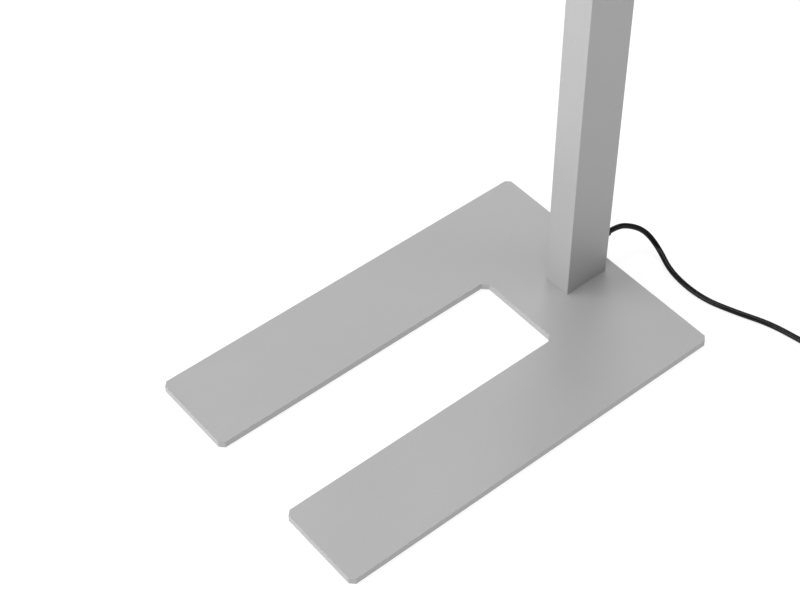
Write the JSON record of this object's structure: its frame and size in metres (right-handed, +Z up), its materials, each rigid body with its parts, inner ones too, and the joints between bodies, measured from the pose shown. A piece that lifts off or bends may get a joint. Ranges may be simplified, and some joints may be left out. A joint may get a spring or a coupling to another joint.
{
  "type": "office floor lamp",
  "caption": "Floor-standing office lamp with a U-shaped flat base, a rectangular post and a flat head that lights both downwards and upwards.",
  "frame": {"origin": "on the floor, under the axis of the post, on the underside of the underlay", "axes": "+Z up along the post; +X to the right across the two prongs; the prongs and the lamp head point towards -Y, the mains cord leaves towards +Y"},
  "size_m": [0.6887, 0.8831, 1.95],
  "materials": {
    "silver_powder_coat": "fine-textured silver-grey powder coat, satin",
    "post_coat": "aluminium with a fine-textured silver-grey powder coat, satin",
    "head_coat": "aluminium with a fine-textured silver-grey powder coat, satin",
    "underlay_felt": "pressed dark grey felt",
    "zinc_steel": "bright zinc-plated steel",
    "raw_aluminium": "machined, satin",
    "galvanised_sheet": "galvanised sheet, matt",
    "white_film": "white diffuse reflecting film",
    "black_pvc": "soft black PVC with a satin sheen",
    "black_plastic": "moulded, finely textured, matt",
    "grey_foam": "open-cell foam",
    "key_grey": "moulded keys, satin",
    "indicator": "clear light pipe",
    "circuit_board": "green solder mask",
    "led_board": "white solder mask",
    "led_phosphor": "yellow phosphor under silicone",
    "diffuser_acrylic": "microprismatic acrylic, frosted",
    "window_acrylic": "clear satin acrylic",
    "driver_case": "white moulded case, matt",
    "lens": "milky lens",
    "contact_metal": "nickel-plated brass",
    "wire_insulation": "flexible PVC",
    "tie_fabric": "woven hook-and-loop strap"
  },
  "bodies": {
    "root": {"base_plate": "silver_powder_coat", "base_underlay": "underlay_felt", "foot_block": "raw_aluminium", "base_screws": "zinc_steel", "post": "post_coat", "post_screws": "zinc_steel", "strain_relief": "black_plastic", "relief_nut": "black_plastic", "cord_anchor": "galvanised_sheet", "cord_saddle": "black_plastic", "anchor_screws": "zinc_steel", "inner_lead": "black_pvc", "control_lead": "wire_insulation", "lead_spacers": "grey_foam", "panel_bezel": "black_plastic", "control_board": "circuit_board", "board_screws": "zinc_steel", "indicator_light": "indicator", "key_switches": "black_plastic", "head_frame": "head_coat", "cross_rails": "head_coat", "gear_tray": "galvanised_sheet", "gear_screws": "zinc_steel", "head_bracket": "raw_aluminium", "backing_plate": "galvanised_sheet", "flange_screws": "zinc_steel", "direct_led_boards": "led_board", "indirect_led_boards": "led_board", "leds": "led_phosphor", "reflector_strips": "white_film", "diffuser": "diffuser_acrylic", "diffuser_film": "white_film", "rear_underside_cover": "head_coat", "front_underside_strip": "head_coat", "sensor_module": "black_plastic", "sensor_lens": "lens", "driver_direct": "driver_case", "driver_indirect": "driver_case", "terminal_block": "driver_case", "head_wiring": "wire_insulation", "top_cover": "head_coat", "top_window": "window_acrylic", "cover_spacers": "raw_aluminium", "cover_screws": "zinc_steel", "mains_cord": "black_pvc", "cord_coil": "black_pvc", "cord_end": "black_pvc", "cord_tie": "tie_fabric", "plug_body": "black_pvc", "plug_contacts": "contact_metal"},
    "button_power": {"button_power": "key_grey", "plunger_power": "black_plastic"},
    "button_brighter": {"button_brighter": "key_grey", "plunger_brighter": "black_plastic"},
    "button_dimmer": {"button_dimmer": "key_grey", "plunger_dimmer": "black_plastic"},
    "button_automatic": {"button_automatic": "key_grey", "plunger_automatic": "black_plastic"}
  },
  "joints": [
    {"name": "press_power", "type": "slide", "parent": "root", "child": "button_power", "axis": [0, 1, 0], "range_m": [0, 0.0008], "stiffness_N_per_m": 1500},
    {"name": "press_brighter", "type": "slide", "parent": "root", "child": "button_brighter", "axis": [0, 1, 0], "range_m": [0, 0.0008], "stiffness_N_per_m": 1500},
    {"name": "press_dimmer", "type": "slide", "parent": "root", "child": "button_dimmer", "axis": [0, 1, 0], "range_m": [0, 0.0008], "stiffness_N_per_m": 1500},
    {"name": "press_automatic", "type": "slide", "parent": "root", "child": "button_automatic", "axis": [0, 1, 0], "range_m": [0, 0.0008], "stiffness_N_per_m": 1500}
  ]
}
